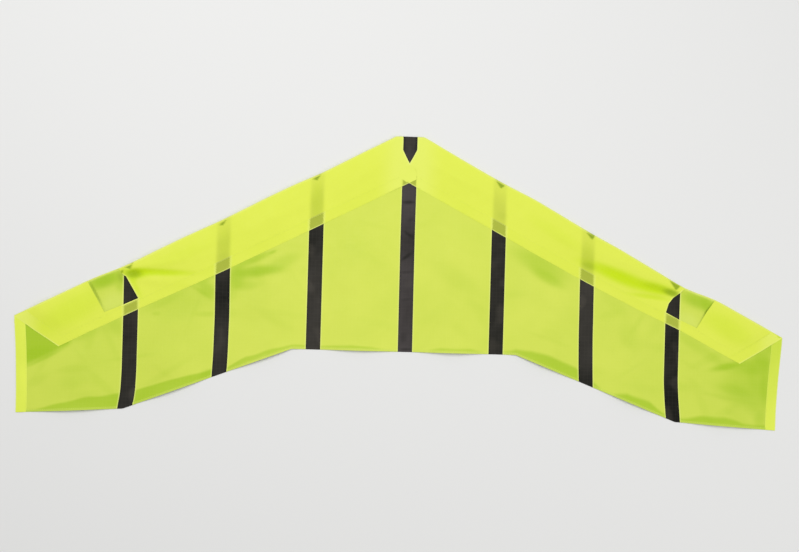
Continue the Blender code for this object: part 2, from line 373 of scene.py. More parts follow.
def trailing_band(x, y):
    """Painted shade: how green the cloth is in the uneven band along the trailing edge."""
    from_back = y - trailing_y(np.abs(x))
    depth = along_x(TRAILING_SHADE, x) + 1.2 * MM * (1 + ripples(x, y, size=0.05, seed=13))
    blur = MM * np.interp(x, *BAND_BLUR)
    inside_band = 1 - smooth(-1.5 * blur, 1.8 * blur, from_back - depth)
    near_edge = mix(np.interp(x, *EDGE_GREEN), 1.1, smooth(0, 7 * MM, from_back))
    return np.interp(x, *BAND_GREEN) * inside_band * near_edge


def open_tip(x, y):
    """Painted shadow: how green the bare cloth beside the left sleeve's slanting end is."""
    out = np.abs(x)
    in_front = smooth(*OPEN_TIP_BACK, straight_y(out) - y)
    return OPEN_TIP_GREEN * smooth(*OPEN_TIP_OUT, out) * in_front * (x < 0)


print("green at the back:", trailing_band(test_x, trailing_y(np.abs(test_x)) + 3 * MM).round(2))

# %% Height of the cloth on the floor
CLEARANCE = 0.12 * MM  # between the floor and the cloth
BILLOW = 3.1 * MM  # of a panel between two strips
BILLOW_RUN = 0.35  # the share of the panel over which it grows, from the sleeve's hem
CURL, CURL_WIDTH = 2.0 * MM, 20 * MM  # how far the trailing edge lifts, and over what width
FOLD_SEAT, FOLD_SEAT_DEPTH = 0.4 * MM, 9 * MM  # the cloth steps over the sleeve's own return


def ground(x, y):
    """Height of the lowest cloth's underside, and its painted shade."""
    out = np.abs(x)
    lead = by_side(x, lambda side: leading_y(side, out))
    back, hem = trailing_y(out), by_side(x, lambda side: hem_y(side, out))
    arch = np.sin(math.pi * by_side(x, lambda side: bay_share(side, out, y)))
    rise = smooth(0, BILLOW_RUN, (hem - 2 * MM - y) / (hem - back))
    lift = np.clip(1 - (y - back) / CURL_WIDTH, 0, 1) ** 2
    broad = 0.9 + 0.25 * ripples(x, y, size=0.16, seed=5)
    height = arch ** 1.6 * (BILLOW * rise * broad + CURL * lift)
    height += FOLD_SEAT * (1 - smooth(FOLD_SEAT_DEPTH, 2.5 * FOLD_SEAT_DEPTH, lead - y))
    swell, tone = folds(GROUND_FOLDS, x, y)
    loose = 0.25 + 0.75 * arch
    middling = MM * (0.22 + 0.30 * arch * rise)
    height += loose * swell + middling * (1 + ripples(x, y, size=0.055, seed=11)) * 0.7
    height += 0.10 * MM * loose * (1 + ripples(x, y, size=0.022, seed=12))
    # painted shade of the folds, the trailing band and the open tip, together
    tone = 1 - (1 - tone) * (1 - trailing_band(x, y)) * (1 - open_tip(x, y))
    return CLEARANCE + np.maximum(height, 0), tone


print("heights on the floor, mm:", (ground(test_x, 0 * test_x - 0.06)[0] / MM).round(1))

# %% [markdown]
# ## The sleeve's upper layer
#
# Seen from the nose, a sleeve is a flattened tube: it comes up round the fold, bulges a little,
# and comes down to a hem sewn to the panels. Near the window on each side the cloth is gathered,
# and creases fan out of that corner. At the nose the left sleeve's end lies across the right
# one's. A tube squashed by a modifier would drift off the panels, so this height is built up from
# the height of the cloth below, and the two stay sewn together.

# %% Folds of the sleeves
# x, y, half length, half width, turn, rise, and the painted shade of each fold
FLAP_FOLDS = [
    (312, 10.5, 52, 10, -20, -1.5, 0.92), (280, 23.5, 35, 7, -17, -0.7, 0.35),
    (361, -3, 31, 8, -13, -1.2, 0.92), (352, -15.5, 30, 3.5, -7, -0.6, 0.50),
    (367, -11.5, 16, 2.6, -10, 0.5, 0),
    (330, 27, 60, 6, -21, 0.9, 0), (338, -24, 50, 6, -13, 0.7, 0),
    (-354, -2, 50, 5, 0, -1.2, 0.80), (-379, -4.5, 18, 7, 6, -0.9, 0.90),
    (-385, -10, 8, 6, -55, -0.4, 0.55),
    (-350, 11, 50, 6, 10, 0.8, 0), (-352, -15, 45, 6, -6, 0.6, 0),
    (-382, -22, 17, 4.5, -60, 0, 0.4),
    (-130, 106, 9, 25, 0, 0, 0.30), (-259, 40, 9, 22, 0, 0, 0.2), (260, 36, 9, 24, 0, 0, 0.22),
    (-467, -59, 57, 19, 31, 0.6, 0.32), (466, -57, 43, 16, -29, 0.5, 0.32),
    (-14, 175, 11, 1.8, -73, 0.6, 0), (60, 150, 45, 5, -27, 0.5, 0), (-190, 80, 60, 7, 24, 0.5, 0),
    (170, 100, 55, 7, -30, -0.5, 0), (-75, 125, 50, 8, 30, -0.4, 0), (230, 60, 30, 5, -35, 0.5, 0),
    (-300, 30, 35, 6, 35, 0.5, 0), (215, 70, 50, 9, -30, 0.3, 0.16),
    (-335, 16, 60, 10, 25, 0.3, 0.14),
]
# FLAP_SHADES are painted shade, with no height.
FLAP_SHADES = [  # the darkest parts of those folds, with no height
    (366, -3, 26, 5, -13, 0, 0.22), (384, -9, 13, 5, -16, 0, 0.90), (-384, -5, 12, 6.5, 4, 0, 0.72),
    (262, 26, 11, 5, -15, 0, 0.30), (135, 94, 8, 6, -20, 0, 0.12), (-260, 22, 9, 6, 20, 0, 0.10),
    (8, 151, 2.2, 7, 0, 0, 0.22),
]
print(len(FLAP_FOLDS), "folds and", len(FLAP_SHADES), "dark spots on the sleeves")

# %% Pinched spots
# Each pinched spot is dented, and painted dark as the shadow in its pucker.
PINCHES = [  # three corners (x, y) of each pinched spot in the fold, turning left
    ((-137, 137), (-131, 135.5), (-125.5, 144.5)), ((124.5, 144.5), (132, 133), (138, 137.5)),
    ((-267.5, 67), (-262, 67), (-257, 75.5)), ((256.5, 75), (265.5, 64), (270, 69)),
    ((-396, 3), (-389, 1), (-386, 9)), ((-405.5, -4.5), (-399.5, -5), (-399, 0)),
    ((380, 9.5), (390.5, -5.5), (397, 0.8)),
]
PINCH_DEPTH = 1.3 * MM


def sides_of(corners):
    """The sides of a closed outline, each as x0, y0, x1, y1."""
    return [(*start, *end) for start, end in zip(corners, corners[1:] + corners[:1])]


def pinches(x, y):
    """1 inside each pinched spot, fading over a millimetre."""
    marks = np.zeros_like(x)
    for corners in PINCHES:
        ring = [(cx * MM, cy * MM) for cx, cy in corners]
        outside = [((x - x0) * (y1 - y0) - (y - y0) * (x1 - x0)) / math.hypot(x1 - x0, y1 - y0)
                   for x0, y0, x1, y1 in sides_of(ring)]
        marks = np.maximum(marks, 1 - smooth(-0.7 * MM, 0.8 * MM, np.max(outside, 0)))
    return marks


print(len(PINCHES), "pinched spots")

# %% Fold, seam and slanting end
FOLD_RADIUS = 1.9 * MM
FOLD_SEEDS = {"left": 31, "right": 32}
WINDOW_FROM, WINDOW_TO = (0.392, 0.405), (0.443, 0.462)  # where the fold flattens and recovers
OPEN_END = 0.51, 0.545
SLEEVE_CORNER_OUT = {"left": 0.4848, "right": 0.4860}  # the back corner of a slanting end
SLEEVE_FRONT_Y = -0.069  # the front corner of both


def tip_end(side, share):
    """How far out a sleeve's slanting end is."""
    return mix(tip_out(side, SLEEVE_FRONT_Y), SLEEVE_CORNER_OUT[side], share)


def fold_radius(side, out):
    """Radius of the fold, which is pressed flat at the window and at the open end."""
    waves = 0.22 * ripples(out, 0 * out, size=0.09, seed=FOLD_SEEDS[side]) * smooth(0.02, 0.05, out)
    flat = smooth(*WINDOW_FROM, out) * (1 - smooth(*WINDOW_TO, out))
    flat = np.maximum(flat, 0.8 * smooth(*OPEN_END, out))
    return FOLD_RADIUS * (0.85 + waves) * (1 - 0.72 * flat)


def seam_y(side, out):
    """Where the flap starts, one radius behind the leading edge."""
    return leading_y(side, out) - fold_radius(side, out) - CLOTH


def flap_share(side, out, y):
    """How far a point is down the flap, from 0 at the seam to 1 at the hem."""
    seam = seam_y(side, out)
    return np.clip((seam - y) / (seam - hem_y(side, out)), 0, 1)


print("fold's radius, mm:", (fold_radius("left", np.abs(test_x)) / MM).round(1))

# %% Height of the sleeve
BULGE = 2.3 * MM
CROSSING_LIFT = 0.45 * MM  # of the left end, which lies on the right one
NEAR_NOSE, CROSSED = (12 * MM, 45 * MM), (12 * MM, 40 * MM)  # where the nose's shape ends
SLANT_RISE = -2 * MM, 32 * MM  # how far from the slanting end the flap rises
PRESSED_OUT, PRESSED_WIDTH = 0.446, 0.02  # where the flap is pressed down, past the window


def flap(side, out, y):
    """Height of the upper layer's underside, its painted shade, and that of its deepest folds."""
    x = out * SIDES[side]
    share = flap_share(side, out, y)
    sewn = ground(x, y)[0] + over_strips(x, y) + 1.15 * CLOTH
    top = 2 * fold_radius(side, out) + 2 * CLOTH
    wave = 0.7 + 0.3 * np.cos(2 * math.pi * (out / STRIP_PITCH - 0.5))
    near_nose = smooth(*NEAR_NOSE, out)
    swell, tone = folds(FLAP_FOLDS, x, y)
    pinch = pinches(x, y)
    belly = np.sin(math.pi * share ** 0.75) ** 1.3
    height = mix(sewn, np.maximum(top, sewn), (1 - share) ** 1.5) + BULGE * wave * belly * near_nose
    height += (0.3 + 0.7 * belly) * near_nose * (
        swell + 0.45 * MM * ripples(x, y, size=0.06, seed=21)
        + 0.16 * MM * ripples(x, y, size=0.024, seed=22) * belly)
    height -= PINCH_DEPTH * pinch
    at_tip = smooth(*SLANT_RISE, tip_end(side, share) - out)
    pressed = np.exp(-((out - PRESSED_OUT) / PRESSED_WIDTH) ** 2)
    height = mix(sewn, np.maximum(height, sewn), (0.12 + 0.88 * at_tip) * (1 - 0.6 * pressed))
    if side == "left":
        height += CROSSING_LIFT * (1 - smooth(*CROSSED, out)) * smooth(0, 0.4, share)
    # the pinched spots and FLAP_SHADES give the painted shade of the deepest places
    return height, tone, np.maximum(pinch, folds(FLAP_SHADES, x, y)[1])


test_out = np.linspace(0.05, 0.5, 9)
test_height, _, _ = flap("left", test_out, straight_y(test_out) - 30 * MM)
print("sleeve's heights, mm:", (test_height / MM).round(1))

# %% [markdown]
# ## Camera, floor and light
#
# The sail was photographed from above, a metre and a half up, with the camera leaning three or
# four degrees. The camera's three axes are written as a matrix, because that is how they were
# found. One big soft light hangs over the nose side, low enough to draw the creases. A weaker one
# stands at the right behind the sail, and a white world fills the rest.

# %% Camera
EYE = (-0.09344, -0.04629, 1.57964)
AXES = [(0.99812, 0.02945, 0.0538), (-0.03108, 0.99908, 0.02968), (-0.05288, -0.0313, 0.99811)]
camera_data = bpy.data.cameras.new("camera")
camera_data.lens = 50
camera_data.sensor_width = 36
camera = bpy.data.objects.new("camera", camera_data)
camera.matrix_world = Matrix.Translation(EYE) @ Matrix(AXES).transposed().to_4x4()
bpy.context.collection.objects.link(camera)
bpy.context.scene.camera = camera
bpy.context.scene.view_settings.view_transform = "Standard"
print("camera", round(EYE[2], 2), "m above the floor")

# %% Floor
FLOOR_REACH = 120  # metres each way, so far that none of its corners shows


def add_floor():
    mesh = bpy.data.meshes.new("floor")
    plane = bmesh.new()
    bmesh.ops.create_grid(plane, x_segments=1, y_segments=1, size=FLOOR_REACH)
    plane.to_mesh(mesh)
    plane.free()
    floor = bpy.data.objects.new("floor", mesh)
    bpy.context.collection.objects.link(floor)
    paint = bpy.data.materials.new("pale_floor")
    paint.use_nodes = True
    shader = paint.node_tree.nodes["Principled BSDF"]
    shader.inputs["Base Color"].default_value = (0.78, 0.78, 0.77, 1)
    shader.inputs["Roughness"].default_value = 0.85
    mesh.materials.append(paint)


add_floor()
print("a pale floor", 2 * FLOOR_REACH, "m across")

# %% Light
SOFTBOXES = {  # place, size and power of each
    "overhead_softbox": ((-0.45, 0.85, 1.9), 1.3, 25),
    "side_softbox": ((1.6, -0.7, 1.6), 1.4, 12.5),
}
WORLD_STRENGTH = 0.46


def add_light(name, place, size, power):
    """A square soft light that points at the middle of the sail."""
    light = bpy.data.lights.new(name, "AREA")
    light.size, light.energy = size, power
    lamp = bpy.data.objects.new(name, light)
    lamp.location = place
    lamp.rotation_euler = (-Vector(place)).to_track_quat("-Z", "Y").to_euler()
    bpy.context.collection.objects.link(lamp)


for name, settings in SOFTBOXES.items():
    add_light(name, *settings)
world = bpy.data.worlds.new("studio")
world.use_nodes = True
world.node_tree.nodes["Background"].inputs["Color"].default_value = (1, 1, 1, 1)
world.node_tree.nodes["Background"].inputs["Strength"].default_value = WORLD_STRENGTH
bpy.context.scene.world = world
print("lights:", ", ".join(SOFTBOXES), "and a white world")

# %% [markdown]
# ## The finish of ripstop
#
# Ripstop is a fine plain weave with thicker yarns in a grid about every five millimetres. A
# picture of cloth could be wrapped on, but nodes stay sharp at any distance and need no file. The
# finish is one function, so every cloth shares the weave and differs only in colour and in which
# way its grid is turned: the sleeve's cloth was cut along the leading edge, the panels' across
# the keel. Four attributes that each mesh carries paint what follows the folds: `fold` is painted
# shade where one layer turns greener, `dark` painted shade where it is deepest, `under` where a
# dark strip shows through from below, and `rim` where an edge is double, with painted highlight
# along the sleeves' fronts and windows and painted sheen on the dark strips.


# %% A short way to write nodes
class Finish:
    """A material, and the few kinds of nodes that these finishes need."""

    def __init__(self, name):
        self.material = bpy.data.materials.new(name)
        self.material.use_nodes = True
        self.tree = self.material.node_tree
        self.shader = self.tree.nodes["Principled BSDF"]

    def node(self, kind, **settings):
        made = self.tree.nodes.new("ShaderNode" + kind)
        for key, value in settings.items():
            setattr(made, key, value)
        return made

    def feed(self, socket, value):
        """Links a socket to another, or sets it to a number or a colour."""
        if isinstance(value, (int, float)):
            socket.default_value = value
        elif isinstance(value, tuple):
            socket.default_value = (*value, 1)
        else:
            self.tree.links.new(value, socket)

    def math(self, operation, a, b):
        made = self.node("Math", operation=operation)
        self.feed(made.inputs[0], a)
        self.feed(made.inputs[1], b)
        return made.outputs[0]

    def map(self, value, low, high, to_low, to_high):
        made = self.node("MapRange", clamp=True)
        for socket, number in zip(made.inputs, (value, low, high, to_low, to_high)):
            self.feed(socket, number)
        return made.outputs[0]

    def blend(self, factor, a, b):
        """Mixes colour a towards colour b."""
        made = self.node("Mix", data_type="RGBA")
        self.feed(made.inputs["Factor"], factor)
        self.feed(made.inputs[6], a)
        self.feed(made.inputs[7], b)
        return made.outputs[2]

    def attribute(self, name):
        return self.node("Attribute", attribute_name=name).outputs["Fac"]

    def noise(self, place, scale, detail):
        made = self.node("TexNoise")
        for name, value in (("Vector", place), ("Scale", scale), ("Detail", detail)):
            self.feed(made.inputs[name], value)
        return made.outputs["Fac"]

    def place(self, turn):
        """Object coordinates, turned about Z."""
        mapping = self.node("Mapping")
        mapping.inputs["Rotation"].default_value = (0, 0, turn)
        self.feed(mapping.inputs["Vector"], self.node("TexCoord").outputs["Object"])
        return mapping.outputs[0]


print("Finish can write", [name for name in vars(Finish) if name[0] != "_"])

# %% Weave and yarns
RIPSTOP = 5.4 * MM  # from one thicker yarn to the next
YARN, YARN_HEIGHT = 0.42 * MM, 0.08 * MM  # a thicker yarn's half width and how far it stands up
WEAVE, WEAVE_STEEPNESS = 0.30 * MM, 0.18  # half of the plain weave's repeat, and its slope


def thicker_yarns(f, axes):
    """1 on the yarns that cross in a square grid, 0 between them."""
    lines = [f.map(f.math("PINGPONG", axis, RIPSTOP / 2), 0, YARN, 1, 0) for axis in axes]
    return f.math("MAXIMUM", *lines)


def add_relief(f, axes, yarns):
    """The weave and its yarns as a bump, in metres."""
    weave = f.math("ADD", *[f.math("PINGPONG", axis, WEAVE) for axis in axes])
    height = f.math("ADD", f.math("MULTIPLY", weave, WEAVE_STEEPNESS),
                    f.math("MULTIPLY", yarns, YARN_HEIGHT))
    bump = f.node("Bump")
    for name, value in (("Strength", 0.6), ("Distance", 1), ("Height", height)):
        f.feed(bump.inputs[name], value)
    f.feed(f.shader.inputs["Normal"], bump.outputs[0])


print("yarns every", round(RIPSTOP / MM, 1), "mm")

# %% Cloth finish
TONES = "fold", "dark", "under", "rim"
CLOUD_SCALE, CLOUD_DETAIL = 11, 3
CRINKLE_SCALE, CRINKLE_DETAIL = 90, 2


def cloth_finish(name, colour, tints, turn=0.0, yarn_light=0.04, cloudy=0.14, rough=0.5):
    """One ripstop. tints holds the colour that each of the four tones mixes in."""
    f = Finish(name)
    place = f.place(turn)
    split = f.node("SeparateXYZ")
    f.feed(split.inputs[0], place)
    axes = split.outputs[0], split.outputs[1]
    yarns = thicker_yarns(f, axes)
    clouds = f.noise(place, CLOUD_SCALE, CLOUD_DETAIL)
    shade = f.blend(f.map(clouds, 0.35, 0.68, 0, cloudy), colour, tints["fold"])
    # fold and dark mix in painted shade, under the strip below, rim a double edge and painted
    # highlight
    for tone in TONES:
        shade = f.blend(f.attribute(tone), shade, tints[tone])
    shade = f.blend(f.math("MULTIPLY", yarns, yarn_light), shade, tints["rim"])
    f.feed(f.shader.inputs["Base Color"], shade)
    add_relief(f, axes, yarns)
    crinkle = f.noise(place, CRINKLE_SCALE, CRINKLE_DETAIL)
    f.feed(f.shader.inputs["Roughness"], f.map(crinkle, 0.3, 0.7, rough - 0.08, rough + 0.1))
    f.shader.inputs["Specular IOR Level"].default_value = 0.12
    return f.material


def srgb(r, g, b):
    """A colour as a screen shows it, 0 to 255, as Blender's linear colour."""
    return tuple(((c / 255 + 0.055) / 1.055) ** 2.4 if c > 10 else c / 255 / 12.92
                 for c in (r, g, b))


print("white stays", srgb(255, 255, 255))

# %% Colours
YELLOW, PANEL_YELLOW, HEM_YELLOW = srgb(223, 234, 83), srgb(214, 226, 90), srgb(228, 240, 88)
# fold and dark are painted shade; rim is a double edge's paleness, partly painted highlight
SAIL_TINTS = {"fold": srgb(158, 195, 28), "dark": srgb(122, 152, 2), "under": srgb(92, 106, 40),
              "rim": srgb(236, 243, 140)}
SLEEVE_TINTS = {**SAIL_TINTS, "fold": srgb(196, 224, 2)}
# on the dark strips, fold and rim carry painted sheen, and dark the painted shade in the keel's
# creases
DARK_TINTS = {"dark": srgb(30, 29, 26), "under": srgb(34, 33, 30), "rim": srgb(96, 90, 80)}
STRIP_TINTS = {"fold": srgb(20, 21, 15), **DARK_TINTS}
KEEL_TINTS = {"fold": srgb(32, 30, 26), **DARK_TINTS}
DARK_CLOTH = {"yarn_light": 0.10, "cloudy": 0.25, "rough": 0.62}
FINISHES = {
    "panel": cloth_finish("panel_ripstop", PANEL_YELLOW, SAIL_TINTS),
    "sleeve_left": cloth_finish("left_sleeve_ripstop", YELLOW, SLEEVE_TINTS, -SWEEP, cloudy=0.07),
    "sleeve_right": cloth_finish("right_sleeve_ripstop", YELLOW, SLEEVE_TINTS, SWEEP, cloudy=0.07),
    "tip": cloth_finish("tip_hem_ripstop", HEM_YELLOW, SAIL_TINTS, cloudy=0.08),
    "strip": cloth_finish("strip_ripstop", srgb(60, 57, 52), STRIP_TINTS, **DARK_CLOTH),
    "keel": cloth_finish("keel_ripstop", srgb(72, 67, 67), KEEL_TINTS, **DARK_CLOTH),
}
print("finishes:", ", ".join(FINISHES))

# %% [markdown]
# ## Cut flat, then laid
#
# A sheet starts as `bmesh.ops.create_grid`, stretched to the piece's flat cut, with anything that
# is folded under or over still unfolded. It could be modelled where it lies, but only the flat
# shape gives its real area. Then `place` sends every point to where it lies, `tones` fills the
# four attributes, and Solidify gives the cloth its thickness.


# %% Flat cuts
def points_of(sheet):
    return np.array([v.co for v in sheet.verts])


def move_to(sheet, points):
    for v, point in zip(sheet.verts, points):
        v.co = point


def flat_cut(columns, rows, plan):
    """A grid whose points, u across and w along from 0 to 1, go to the x and y of plan(u, w)."""
    sheet = bmesh.new()
    bmesh.ops.create_grid(sheet, x_segments=columns, y_segments=rows, size=0.5)
    bmesh.ops.translate(sheet, verts=sheet.verts, vec=(0.5, 0.5, 0))
    u, w, _ = points_of(sheet).T
    x, y = plan(u, w)
    move_to(sheet, np.stack([x, y, 0 * x], 1))
    return sheet


def flat_size(sheet, turn):
    """Width, length and area of the flat cut, measured along a turned rule."""
    x, y, _ = points_of(sheet).T
    c, s = math.cos(turn), math.sin(turn)
    width, length = np.ptp(x * c + y * s), np.ptp(y * c - x * s)
    area = sum(f.calc_area() for f in sheet.faces)
    return (width, length), min(area, width * length)  # rounding must not make it too large


test_sheet = flat_cut(4, 4, lambda u, w: (u * 0.2, w * 0.1))
(test_width, test_length), test_area = flat_size(test_sheet, 0)
print(f"a test cut: {test_width:.2f} x {test_length:.2f} m, {test_area:.3f} m2")
test_sheet.free()

# %% Slots
SLOTS = {"panel": "panel_cloth", "leading_edge": "sleeve_cloth", "sleeve_hem": "hem_tape",
         "tip_hem": "hem_cloth", "sleeve_tip": "hem_cloth", "batten": "strip_cloth",
         "keel": "keel_cloth"}


def slot_of(node):
    return next(slot for start, slot in SLOTS.items() if node.startswith(start))


print("slots:", sorted({slot_of(node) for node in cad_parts}))


# %% Laying a sheet
def turn_face_up(sheet):
    """Makes the faces look up, smooth inside and with a crisp cut edge."""
    sheet.normal_update()
    if sum(f.normal.z * f.calc_area() for f in sheet.faces) < 0:
        bmesh.ops.reverse_faces(sheet, faces=sheet.faces)
    for face in sheet.faces:
        face.smooth = True
    for edge in sheet.edges:
        edge.smooth = not edge.is_boundary


def paint_tones(mesh, painted):
    """Stores the four tones on the mesh's points, with 0 for one that isn't given."""
    for tone in TONES:
        values = painted.get(tone, np.zeros(len(mesh.vertices)))
        layer = mesh.attributes.new(tone, "FLOAT", "POINT")
        layer.data.foreach_set("value", np.clip(values, 0, 1).astype(np.float32))


def lay(sheet, node, finish, place, tones, turn=0.0):
    """Turns a flat cut into the finished piece that stands for one CAD node."""
    size, area = flat_size(sheet, turn)
    x, y, _ = points_of(sheet).T
    move_to(sheet, place(x, y))
    turn_face_up(sheet)
    mesh = bpy.data.meshes.new(node + "_cloth")
    sheet.to_mesh(mesh)
    sheet.free()
    paint_tones(mesh, tones(x, y))
    mesh.materials.append(FINISHES[finish])
    piece = bpy.data.objects.new(node + "_cloth", mesh)
    bpy.context.collection.objects.link(piece)
    thick = piece.modifiers.new("cloth", "SOLIDIFY")
    thick.thickness, thick.offset = CLOTH, 1
    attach(piece, BODY)
    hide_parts(node)
    print(f"{piece.name}: {len(mesh.vertices)} points, flat {size[0]:.3f} x {size[1]:.3f} m")


print("cloth", CLOTH / MM, "mm thick")

# %% [markdown]
# ## Dark strips
#
# Six dark strips take the battens, and a seventh, the keel strip, runs down the middle. They
# could be painted on the panels, but as cloths of their own they are sewn under the panels'
# edges, as the real ones are: each is cut nearly four millimetres wider on both sides than what
# shows, and lies right on the floor.

# %% Flat cut of a strip
STEP = 2 * MM  # of the grids, along the cloth
PASSES = 3  # x depends on y and y on x, so each plan is worked out this many times
BEHIND_EDGE = 1.1 * MM  # how far behind the sleeve's fold the cloth in it ends
BEHIND_NOSE = 0.6 * MM


def strip_plan(side, number, u, w):
    y = np.zeros_like(u)
    for _ in range(PASSES):
        out = strip_out(side, number, y) + (HALF_STRIP + ALLOWANCE) * (2 * u - 1)
        front = NOSE_Y - BEHIND_NOSE if number == 0 else leading_y(side, np.abs(out)) - BEHIND_EDGE
        y = mix(trailing_y(np.abs(out)), front, w)
    return SIDES[side] * out, y


test_u = np.linspace(0, 1, 3)
print("front of a strip, x and y:", np.round(strip_plan("left", 1, test_u, 0 * test_u + 1), 4))

# %% Surface of the strips
# x, y, half length, half width, turn, rise, and the painted shade of each crease
KEEL_CREASES = [
    (0, 109, 9, 2.2, 2, 0.35, 0.85), (2, 62.5, 9, 2.4, -34, 0.4, 0.85),
    (-1, 31, 9, 2.4, 38, 0.4, 0.85),
    (0, 9, 9, 2, 4, 0.2, 0.4), (-2, -84, 5, 8, 0, 0.2, 0.35), (2, -101, 9, 1.4, 2, 0.2, 0.6),
    (4, 84, 6, 3, 30, 0.2, 0.3), (1, -30, 9, 2, 12, 0.3, 0.3),
]
STRIP_SHADES = [  # broad darker lengths of the strips, with no height
    (-130, 45, 45, 30, 90, 0, 0.5), (-259, -25, 50, 30, 90, 0, 0.6),
    (-387, -110, 150, 30, 90, 0, 0.4),
    (131, -20, 130, 30, 90, 0, 0.45), (262, -150, 40, 30, 90, 0, 0.6),
    (388, -100, 150, 30, 90, 0, 0.55),
    (389, -175, 50, 30, 90, 0, 0.85), (0, 195, 18, 20, 90, 0, 0.6), (0, 42, 36, 20, 90, 0, 0.35),
    (-260, -120, 60, 30, 90, 0, 0.3),
]
LOOSE_TO, EDGE_FROM = (5 * MM, 8.5 * MM), (6.5 * MM, 9.6 * MM)  # from the centreline


def from_centre(x, y):
    """How far a strip's point is from the strip's own centreline."""
    out = np.abs(x)
    across = by_side(x, lambda side: to_strip(side, out, y, (1, 2, 3)))
    return np.where(out < STRIP_PITCH / 2, out, across)


def strip_place(x, y):
    crease, _ = folds(KEEL_CREASES, x, y)
    wrinkle = 0.10 * MM * (1 + ripples(x, y, size=0.012, seed=42))
    loose = 1 - smooth(*LOOSE_TO, from_centre(x, y))
    return np.stack([x, y, ground(x, y)[0] + (crease + wrinkle) * loose], 1)


def strip_tones(x, y):
    # Painted sheen in random darker and paler patches; painted shade in the keel's creases.
    sheen = 0.14 + 0.14 * ripples(x, y, size=0.05, seed=41)
    sheen += 0.06 * ripples(x, y, size=0.016, seed=43)
    edge = 0.15 * smooth(*EDGE_FROM, from_centre(x, y))
    tone = np.clip(sheen, 0, 1) + edge + folds(STRIP_SHADES, x, y)[1]
    pale = 0.16 * smooth(0.35, 1.2, ripples(x, y, size=0.03, seed=44))
    return {"fold": tone, "dark": folds(KEEL_CREASES, x, y)[1], "rim": pale}


print(len(KEEL_CREASES), "creases across the keel strip")


# %% Strips
def make_strip(side, number):
    node = "keel_strip" if number == 0 else f"batten_strip_{side}_{number}"
    front = NOSE_Y if number == 0 else float(leading_y(side, number * STRIP_PITCH))
    length = front - float(trailing_y(number * STRIP_PITCH))
    sheet = flat_cut(14, int(length / STEP), partial(strip_plan, side, number))
    finish = "keel" if number == 0 else "strip"
    lay(sheet, node, finish, strip_place, strip_tones)


make_strip("right", 0)
for side in SIDES:
    for number in (1, 2, 3):
        make_strip(side, number)

# %% [markdown]
# ## Panels
#
# The panels are the eye's first read of the sail: one layer of yellow cloth, painted greener as
# shade where it lifts off. One big sheet would be simpler, but the seams are what show how it was
# sewn. So each panel runs from under the sleeve's fold to the trailing edge, where it is turned
# over into a narrow hem, and its sides lie on the strips' edges, turned in and sewn: the pale line
# beside every strip.

# %% Flat cut of a panel
HEM_TURN = 3.6 * MM
HEM_ROWS = 4  # of the grid, for the hem
SET_BACK = 0.4 * MM  # of a panel's side from the strip's edge
TIP_SET_BACK = 1.2 * MM  # of the tip panel's side from the tip


def panel_plan(side, number, u, w):
    """w runs from -1 at the edge of the unfolded hem, by 0 at the trailing edge, to 1 in front."""
    y = np.zeros_like(u)
    for _ in range(PASSES):
        inner = strip_out(side, number - 1, y) + HALF_STRIP + SET_BACK
        if number < 4:
            outer = strip_out(side, number, y) - HALF_STRIP - SET_BACK
        else:
            outer = tip_out(side, y) - TIP_SET_BACK
        out = mix(inner, outer, u)
        y = mix(trailing_y(out), leading_y(side, out) - BEHIND_EDGE, np.clip(w, 0, 1))
    return SIDES[side] * out, y + np.clip(w, -1, 0) * HEM_TURN


def panel_rows(rows, w):
    """Gives the hem its own rows of the grid, the finest at the trailing edge."""
    row = np.round(w * (rows + HEM_ROWS))
    hem = np.interp(row, [0, 2, 3, HEM_ROWS], [-1, -0.4, -0.12, 0])
    return np.where(row >= HEM_ROWS, (row - HEM_ROWS) / rows, hem)


print("rows of a hem:", panel_rows(6, np.linspace(0, 1, 11)).round(2))

# %% Surface of the panels
# GROUND_SHADES are painted shadow: under the sleeve's edge, and in the window's front corner.
GROUND_SHADES = [  # thin dark lines along the windows' outer edges, with no height
    (-436, -34, 20, 1.7, -61, 0, 0.62), (442, -26, 16, 1.4, 54, 0, 0.5),
    (437, -33.5, 7, 1.8, 55, 0, 0.62),
    (-402, -11, 4, 9, 20, 0, 0.3), (-395, 2, 5, 4, 0, 0, 0.5),
]
PALE_PATCHES = [  # where the cloth in a window lies close under the sleeve's hem
    (-409, -48, 22, 17, 25, 0, 0.18), (406, -50, 22, 14, -25, 0, 0.20),
]
RIM = 1.3 * MM  # width of the pale line beside a strip


def panel_place(x, y):
    """Lays the flat cut down, with its hem turned over on top."""
    back = trailing_y(np.abs(x))
    turned = np.clip(back - y, 0, None)
    lies_at = np.where(turned > 0, back + turned, y)
    height, _ = ground(x, lies_at)
    over = 2.3 * CLOTH * smooth(0, 0.5 * MM, turned)
    return np.stack([x, lies_at, height + over_strips(x, y) + over], 1)


def panel_tones(x, y):
    back = trailing_y(np.abs(x))
    lies_at = back + np.abs(y - back)
    seam = 1 - smooth(0.5 * RIM, 1.5 * RIM, seam_distance(x, lies_at))
    hem_line = 1 - smooth(0, 1.5 * MM, lies_at - back)
    lead = by_side(x, lambda side: leading_y(side, np.abs(x)))
    edge = 1 - smooth(1.5 * MM, 3.5 * MM, lead - y)
    pale = folds(PALE_PATCHES, x, y)[1]
    rim = np.maximum.reduce([0.8 * seam, 0.45 * hem_line, 0.12 * (y < back), 0.8 * edge, pale])
    # dark is the painted shadow of GROUND_SHADES, and fold the painted shade of the folds
    dark = folds(GROUND_SHADES, x, y)[1]
    outer = 0.16 * smooth(0.1, 0.5, np.abs(x))
    tone = 1 - (1 - ground(x, lies_at)[1]) * (1 - outer)
    return {"fold": tone, "dark": dark, "rim": rim * (1 - dark)}


print("tone along the panels:", panel_tones(test_x, 0 * test_x - 0.1)["fold"].round(2))


